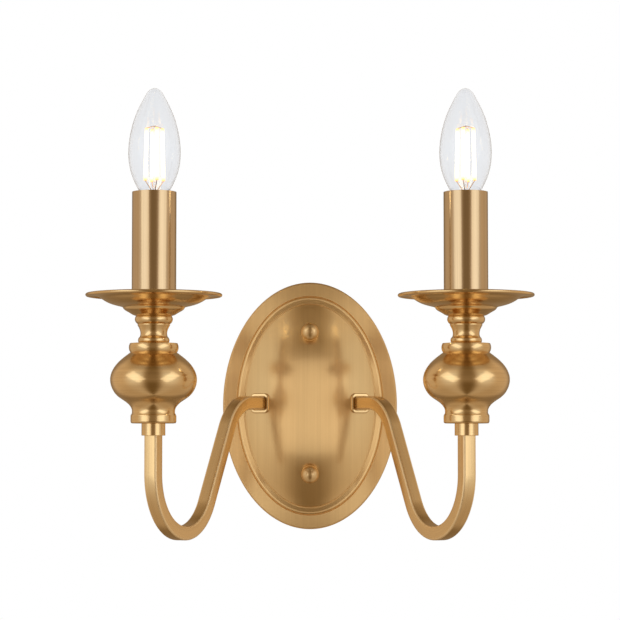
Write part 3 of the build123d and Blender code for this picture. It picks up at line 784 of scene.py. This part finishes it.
def cylinder(place, radius, low, high, count=64):
    """A closed cylinder for drilling."""
    loops = [circle(r, h, count) for r, h in ((0, low), (radius, low), (radius, high), (0, high))]
    return loft("drill", loops, place)


def build_backplate():
    """The pressed oval: rolled edge, fine groove, inner band and dome, as one thick sheet. A
    low ring runs along each side of the inner band."""
    rim = plate_half_width - dome_inset
    ring_top, ring_foot = groove_inset + 1.2, groove_inset + 1.9
    rim_foot, rim_top = dome_inset - 1.3, dome_inset - 0.6
    front_line = [
        (0, 0),
        (0, edge_depth),
        (edge_chamfer, edge_depth + edge_chamfer),
        (groove_inset - groove_half_width, outer_band_depth),
        (groove_inset, outer_band_depth - groove_depth),
        (groove_inset + groove_half_width, outer_band_depth),
        (ring_top, outer_band_depth + 0.3),
        (ring_foot, outer_band_depth + 0.1),
        (rim_foot, dome_edge_depth - 0.3),
        (rim_top, dome_edge_depth + 0.35),
        (dome_inset, dome_edge_depth),
    ]
    front_radii = [0, 0.35, 0.35, 0.25, 0.15, 0.15, 0.25, 0.2, 0.15, 0.3, 0]
    back_line = [
        (sheet, 0),
        (sheet, edge_depth - sheet / 2),
        (sheet + edge_chamfer, edge_depth + edge_chamfer - sheet),
        (groove_inset, outer_band_depth - groove_depth - sheet),
    ]
    inside = dome_radius - sheet
    inner_rim = sqrt(inside**2 - (dome_edge_depth - sheet + dome_back) ** 2)
    front = band_loops(front_line, front_radii)
    front += dome_loops(dome_radius, rim)[1:]
    back = band_loops(back_line, [0, 0.3, 0.3, 0])
    back += dome_loops(inside, inner_rim)
    mesh = loft("backplate_shell", front + back[::-1], ring=True)
    knob_drill, tube_drill = (8, 34), (-12, 6)
    holes = [
        cylinder(facing_frame(0, 0, height), knob_hole_radius, *knob_drill)
        for height in (stud_height, -stud_height)
    ]
    holes += [
        cylinder(exit_frame(side), arm_tube_radius + fit_gap, *tube_drill)
        for side in sides.values()
    ]
    mesh = drilled(mesh, holes)
    piece("backplate_shell", mesh, plate_brass, "root", "plate_brass", "backplate", smooth=20)


def build_knob(node, height):
    """A ball nut with its shank, bored for the stud."""
    shank_y = sqrt(knob_radius**2 - knob_shank_radius**2)
    shank_end = knob_middle(height) - knob_seat(height) - knob_shank_length
    start = atan2(-shank_y, knob_shank_radius)
    ball = arc((0, 0), knob_radius, degrees(start), 90, steps=28)
    edge = 0.3
    bore_line = [(stud_radius, 0), (stud_radius, shank_end)]
    shank = eased([bore_line[1], (knob_shank_radius, shank_end), ball[0]], edge)
    profile = [(0, 0)] + bore_line + shank[1:-1] + ball[:-1] + [(0, knob_radius)]
    place = facing_frame(0, knob_middle(height), height)
    turned(f"{node}_piece", profile, place, knob_brass, "root", "turned_brass", node, count=96)


# ------------------------------------------------------------------ arms


def build_arm(name, side):
    """The bent square bar, from the dome down and up into the ferrule."""
    fall = arm_drop / tan(radians(arm_slope))
    corners = [
        (seat_gap, 0),
        (arm_straight, 0),
        (arm_straight + fall, -arm_drop),
        (arm_run, -arm_drop),
        (arm_run, bar_end),
    ]
    place = exit_frame(side)
    mesh = bpy.data.meshes.new("arm_line")
    points = [place @ Vector((0, height, out)) * MM for out, height in corners]
    mesh.from_pydata(points, [(i, i + 1) for i in range(len(points) - 1)], [])
    bend = mesh.attributes.new("bend", "FLOAT", "POINT")
    bend.data.foreach_set("value", [0.0] + [radius * MM for radius in arm_bends] + [0.0])
    values = {
        "Across": place.col[0].to_3d(),
        "Width": bar * MM,
        "Corner": bar_corner * MM,
        "Material": bar_brass,
    }
    made = grown("arm_line", bent_bar, mesh, values)
    piece(f"{name}_arm_bar", made, bar_brass, "root", "satin_brass", f"{name}_arm", smooth=40)


def build_collar(name, side):
    """The thin rose round the arm, its back following the dome."""
    place = exit_frame(side)
    count = 96
    half, window = collar_size / 2, collar_window / 2

    def to_dome(loop):
        """A loop dropped onto the dome along the arm's axis."""
        dropped = []
        for x, y, _ in loop:
            origin, out = place @ Vector((x, y, 0)), place.col[2].to_3d()
            squash = Vector((1, 1, 1 / dome_stretch))
            p = (origin - Vector((0, dome_back, -plate_drop))) * squash
            d = out * squash
            a, b, c = d.dot(d), 2 * p.dot(d), p.dot(p) - (dome_radius + seat_gap) ** 2
            dropped.append((x, y, (-b + sqrt(b * b - 4 * a * c)) / (2 * a)))
        return dropped

    edge, edge_steps, break_width = 0.8, 6, 0.15
    loops = [
        to_dome(rounded_square(window, bar_corner, 0, count)),
        to_dome(rounded_square(half, collar_corner, 0, count)),
    ]
    for step in range(edge_steps + 1):
        angle = pi / 2 * step / edge_steps
        shrink = edge * (1 - cos(angle))
        height = collar_height - edge + edge * sin(angle)
        loops.append(rounded_square(half - shrink, collar_corner - shrink, height, count))
    broken = window + break_width, bar_corner + break_width
    loops.append(rounded_square(*broken, collar_height, count))
    loops.append(rounded_square(window, bar_corner, collar_height - break_width, count))
    mesh = loft(f"{name}_rose", loops, place, ring=True)
    piece(
        f"{name}_rose", mesh, turned_brass, "root", "satin_brass", f"{name}_arm_collar", smooth=35
    )


# ------------------------------------------------------------------ candle columns


def build_ferrule(name, side):
    """The round socket under the vase, with the square hole that takes the bar."""
    count = 144
    hole = bar / 2 + fit_gap
    foot_width, mouth_break, step_in = 0.6, 0.1, 1.5
    outer = eased(
        [
            (ferrule_radius - foot_width, ferrule_bottom),
            (ferrule_radius, ferrule_bottom),
            (ferrule_radius, ferrule_top),
            (spigot_radius, ferrule_top),
            (spigot_radius, spigot_top),
            (bore, spigot_top),
        ],
        [0, 0.4, 0.15, 0.1, 0.3, 0],
    )
    loops = [rounded_square(hole, bar_corner, bar_end, count)]
    loops.append(rounded_square(hole, bar_corner, ferrule_bottom + mouth_break, count))
    loops += [circle(radius, height, count) for radius, height in outer]
    loops += [circle(bore - step_in, height, count) for height in (bar_end + fit_gap, bar_end)]
    mesh = loft(f"{name}_socket", loops, candle_frame(side), ring=True)
    piece(f"{name}_socket", mesh, turned_brass, "root", "satin_brass", f"{name}_ferrule")


def vase_profile():
    """Foot, waist, round belly and shoulder ring, then the bore and the ferrule's recess."""
    foot, waist, belly, foot_edge = 15.1, 14.2, 28.6, 1.5
    base = eased(
        [(spigot_radius + fit_gap, ferrule_top), (foot, ferrule_top), (foot, -10.6), (waist, -9.0)],
        foot_edge,
        steps=5,
    )
    body = smooth_line(
        [(waist, -7.6), (16.65, -3.0), (23.8, 2.3), (belly, 13.8), (24.2, 23.5), (15.4, 31.0)],
        steps=14,
        start=(0, 1),
        end=(-1, 0.75),
    )
    ring = arc_through((15.4, 31.0), (16.4, 34.5), (15.7, vase_top), steps=10)
    recess = [
        (bore, vase_top),
        (bore, spigot_top + fit_gap),
        (spigot_radius + fit_gap, spigot_top + fit_gap),
    ]
    return base + body + ring[1:] + recess


def neck_profile():
    """Bead, waist and flare under a torus."""
    bead = arc_through((9.7, vase_top), (10.4, 39.2), (9.3, 41.3), steps=8)
    waist = smooth_line(
        [(9.3, 41.3), (8.8, 43.6), (10.75, 49.0)], steps=10, start=(-0.5, 1), end=(0.6, 1)
    )
    torus = arc_through((10.6, 49.8), (12.3, 51.7), (11.7, neck_top), steps=12)
    return [(bore, vase_top)] + bead + waist[1:] + [(10.75, 49.4)] + torus + [(bore, neck_top)]


def pan_profile():
    """Small lower bowl, step, broad bowl and a nearly flat lip with a rolled bead."""
    lip, bead = (44.1, 69.0), 1.1
    under = smooth_line([(11.6, neck_top), (16.9, 57.7), (20.4, 60.6)], 8, (1, 0), (0.3, 1))
    bowl = smooth_line(
        [(21.2, 61.2), (28.3, 63.1), (33.5, 65.7), (37.2, 68.0), (43.0, 68.6)],
        steps=10,
        start=(1, 0.25),
        end=(1, 0),
    )
    roll = arc(lip, bead, -158, 158, steps=22)
    inside = smooth_line(
        [(43.0, 69.6), (37.0, 69.0), (33.3, 66.7), (28.1, 64.1), (20.6, 62.2)],
        steps=10,
        start=(-1, 0),
        end=(-1, -0.25),
    )
    cup = smooth_line([(19.6, 61.6), (16.3, 58.7), (11.4, 56.3)], 8, (-0.3, -1), (-1, 0))
    rim = [(bore, neck_top + pan_sheet), (bore, neck_top)]
    return under + bowl + roll[1:-1] + inside + cup + rim


def sleeve_profile():
    """The plain candle sleeve, its edges just broken."""
    inner = sleeve_radius - sleeve_wall
    corners = [
        (inner, sleeve_bottom),
        (sleeve_radius, sleeve_bottom),
        (sleeve_radius, sleeve_top),
        (inner, sleeve_top),
    ]
    return eased(corners, 0.12, steps=2, closed=True)


def glass_profile():
    """The blown envelope with one wall all round."""
    side = [
        (5.9, 124.0),
        (6.3, 128.8),
        (11.3, 140.3),
        (15.8, 151.5),
        (17.3, 162.5),
        (16.0, 176.5),
        (11.6, 191.1),
        (6.5, 201.3),
        (4.1, 204.9),
        (0, bulb_tip),
    ]
    outer = smooth_line(side, steps=9, end=(-1, 0))
    inner = []
    for i, (radius, height) in enumerate(outer):
        before, after = outer[max(i - 1, 0)], outer[min(i + 1, len(outer) - 1)]
        out, rise = after[0] - before[0], after[1] - before[1]
        scale = glass_wall / hypot(out, rise)
        inner.append((radius - rise * scale, height + out * scale))
    inner[-1] = (0, bulb_tip - glass_wall)
    return outer, inner


def build_column(name, side):
    """Everything that stands on one arm."""
    place = candle_frame(side)
    brass = ("root", "turned_brass")
    build_ferrule(name, side)
    turned(f"{name}_vase_body", vase_profile(), place, turned_brass, *brass, f"{name}_vase")
    turned(f"{name}_spacer", neck_profile(), place, turned_brass, *brass, f"{name}_neck")
    turned(f"{name}_pan", pan_profile(), place, turned_brass, *brass, f"{name}_drip_pan")
    turned(
        f"{name}_sleeve", sleeve_profile(), place, sleeve_brass, "root", "sleeve_brass",
        f"{name}_candle_sleeve",
    )
    outer, inner = glass_profile()
    count = 128
    loops = [circle(radius, height, count) for radius, height in outer + inner[::-1]]
    mesh = loft(f"{name}_envelope", loops, place, ring=True)
    piece(
        f"{name}_envelope", mesh, clear_glass, f"{name}_bulb", "clear_glass",
        f"{name}_bulb_glass", smooth=60,
    )


# ------------------------------------------------------------------ what is seen

build_backplate()
build_knob("top_knob_nut", stud_height)
build_knob("bottom_knob_nut", -stud_height)
for name, side in sides.items():
    build_arm(name, side)
    build_collar(name, side)
    build_column(name, side)
stud_pitch, stud_turns, stud_ridge = 0.7, 24, 0.13
tube_pitch, tube_turns, tube_ridge = 1.0, 6, 0.2
thread_start = 0.4
stud_run = stud_radius - fit_gap, stud_pitch, stud_turns, stud_ridge
tube_run = arm_tube_radius - fit_gap, tube_pitch, tube_turns, tube_ridge
stud_places = [facing_frame(0, -thread_start, height) for height in (stud_height, -stud_height)]
studs = [(place, *stud_run) for place in stud_places]
threads("stud_threads", studs, zinc_steel, "root", "zinc_steel")
behind_dome = Matrix.Translation((0, 0, arm_tube_back + thread_start))
tubes = [(exit_frame(side) @ behind_dome, *tube_run) for side in sides.values()]
threads("arm_tube_threads", tubes, zinc_steel, "root", "zinc_steel")

# Every node takes a material: coats are for those that keep their CAD shape, and spare and
# turned_brass for those that a piece above replaces.

coats = {
    "wall_bracket": zinc_steel,
    "bracket_studs": zinc_steel,
    "stud_lock_nuts": zinc_steel,
    "earth_screw": zinc_steel,
    "terminal_block": block_plastic,
    "terminal_tubes": contact_brass,
    "terminal_screws": zinc_steel,
    "arm_tube": zinc_steel,
    "arm_washer": zinc_steel,
    "arm_nut": zinc_steel,
    "column_tube": zinc_steel,
    "column_nut": zinc_steel,
    "stirrup": zinc_steel,
    "lampholder": holder_plastic,
    "screw_shell": contact_brass,
    "centre_contact": contact_brass,
    "holder_screws": zinc_steel,
    "leads": lead_sleeving,
    "bulb_contact": solder_tip,
    "bulb_insulator": black_glass,
    "bulb_cap": nickel_cap,
    "bulb_stem": clear_glass,
    "bulb_filaments": lit_filament,
    "bulb_wires": lead_wire,
}
spare = {"backplate": plate_brass, "candle_sleeve": sleeve_brass, "bulb_glass": clear_glass}
for node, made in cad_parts.items():
    kind = node.split("_", 1)[1] if node.startswith(("left_", "right_")) else node
    made.data.materials.clear()
    made.data.materials.append(coats.get(kind) or spare.get(kind) or turned_brass)

# ------------------------------------------------------------------ camera, light and floor
# The focal length and the horizon's place, which is below the picture's middle, are in pixels
# of the photograph. Lamps and floor are in metres.

photo_size = 620
sensor = 36.0
focal_px = 2300.0
eye = Vector((0, -1676.6, -30.0)) * MM
horizon_px = 135.0

camera = bpy.data.objects.new("camera", bpy.data.cameras.new("camera"))
camera.data.sensor_width = sensor
camera.data.lens = sensor * focal_px / photo_size
camera.location = eye
camera.rotation_euler = (pi / 2 + atan2(horizon_px, focal_px), 0, 0)
camera.data.clip_start = 0.05
bpy.context.scene.collection.objects.link(camera)
bpy.context.scene.camera = camera


def soft_box(name, place, size, power, plate):
    """A rectangular studio light that faces the sconce, unseen itself, even through glass. It
    is flagged: plate is INCLUDE where it lights the backplate alone, and EXCLUDE where it
    lights everything else."""
    lamp = bpy.data.lights.new(name, "AREA")
    lamp.shape = "RECTANGLE"
    lamp.size, lamp.size_y = size
    lamp.energy = power
    made = bpy.data.objects.new(name, lamp)
    made.location = place
    made.rotation_euler = (-Vector(place)).to_track_quat("-Z", "Z").to_euler()
    made.visible_camera = made.visible_transmission = False
    bpy.context.scene.collection.objects.link(made)
    flagged = bpy.data.collections.new(f"{name}_flag")
    flagged.objects.link(bpy.data.objects["backplate_shell"])
    flagged.collection_objects[0].light_linking.link_state = plate
    made.light_linking.receiver_collection = flagged


tall, wide = (1.6, 3.2), (1.15, 0.6)
side_power, front_power = 9.0, 1.38
for name, side in sides.items():
    soft_box(f"{name}_box", (side * 2.2, -2.1, 0.5), tall, side_power, "EXCLUDE")
soft_box("front_box", (0, -0.7, 0.0), wide, front_power, "INCLUDE")

shadow_tone = (0.15, 0.09, 0.03)
wall_tone = (0.66, 0.52, 0.38)
screen_tone = (0.88, 0.87, 0.85)
white = (1.0, 1.0, 1.0)


def build_studio(world):
    """The room that the brass reflects: warm walls, pale screens on both sides, a darker
    camera side and floor. The camera, and what is seen through glass, meets plain white."""
    world.use_nodes = True
    room = Tree(world.node_tree)
    straight = room.add("ShaderNodeLightPath", out="Is Camera Ray")
    through = room.add("ShaderNodeLightPath", out="Is Transmission Ray")
    east, north, up = room.split(room.add("ShaderNodeTexCoord"))
    turn = room.maths("ABSOLUTE", room.maths("ARCTAN2", east, north * -1.0))

    def round_about(first, last, start, end):
        """A level that changes with the angle from straight ahead, in degrees."""
        return room.slope(turn, radians(first), radians(last), start, end, smooth=True)

    def upwards(first, last, start, end):
        """A level that changes with the height of the direction, from -1 to 1."""
        return room.slope(up, first, last, start, end, smooth=True)

    screens = round_about(17, 42, 0.0, 1.0) * round_about(50, 90, 1.0, 0.0)
    screens *= upwards(-0.75, 0.1, 0.15, 1.0) * upwards(0.3, 0.8, 1.0, 0.2)
    ahead = round_about(8, 42, 1.0, 0.0)
    ahead_light = upwards(-0.5, -0.12, 0.25, 1.0) * upwards(0.18, 0.45, 1.0, 0.7) * 0.25
    behind = round_about(125, 155, 1.0, 0.3)
    height = upwards(0.6, 0.95, 1.0, 0.3) * upwards(-0.75, -0.2, 0.72, 1.0)
    lit = behind * (1.0 - ahead * (1.0 - ahead_light)) * height
    around = room.blend(lit, shadow_tone, wall_tone)
    around = room.blend(screens, around, screen_tone)
    seen = room.blend(straight + through, around, white)
    plug(room.tree, seen, room.tree.nodes["Background"].inputs[0])


bpy.context.scene.world = bpy.data.worlds.new("studio")
build_studio(bpy.context.scene.world)

floor_mesh = bpy.data.meshes.new("floor")
floor_reach, floor_height = 18.0, -2.0
corners = [(-1, -1), (1, -1), (1, 1), (-1, 1)]
floor_mesh.from_pydata(
    [(x * floor_reach, y * floor_reach, floor_height) for x, y in corners], [], [range(4)]
)
floor = bpy.data.objects.new("floor", floor_mesh)
floor_tone, floor_glow = (0.80, 0.79, 0.77), (0.83, 0.91, 1.0)
floor_paint = mottled(
    "floor_paint", floor_tone, 0.7, scale=20.0, tone=0.01, bump=0.0, Emission_Color=floor_glow,
    Emission_Strength=0.5,
)
floor_mesh.materials.append(floor_paint)
bpy.context.scene.collection.objects.link(floor)
floor.visible_glossy = False  # the brass reflects the studio's darker floor instead

bpy.context.scene.view_settings.view_transform = "Standard"
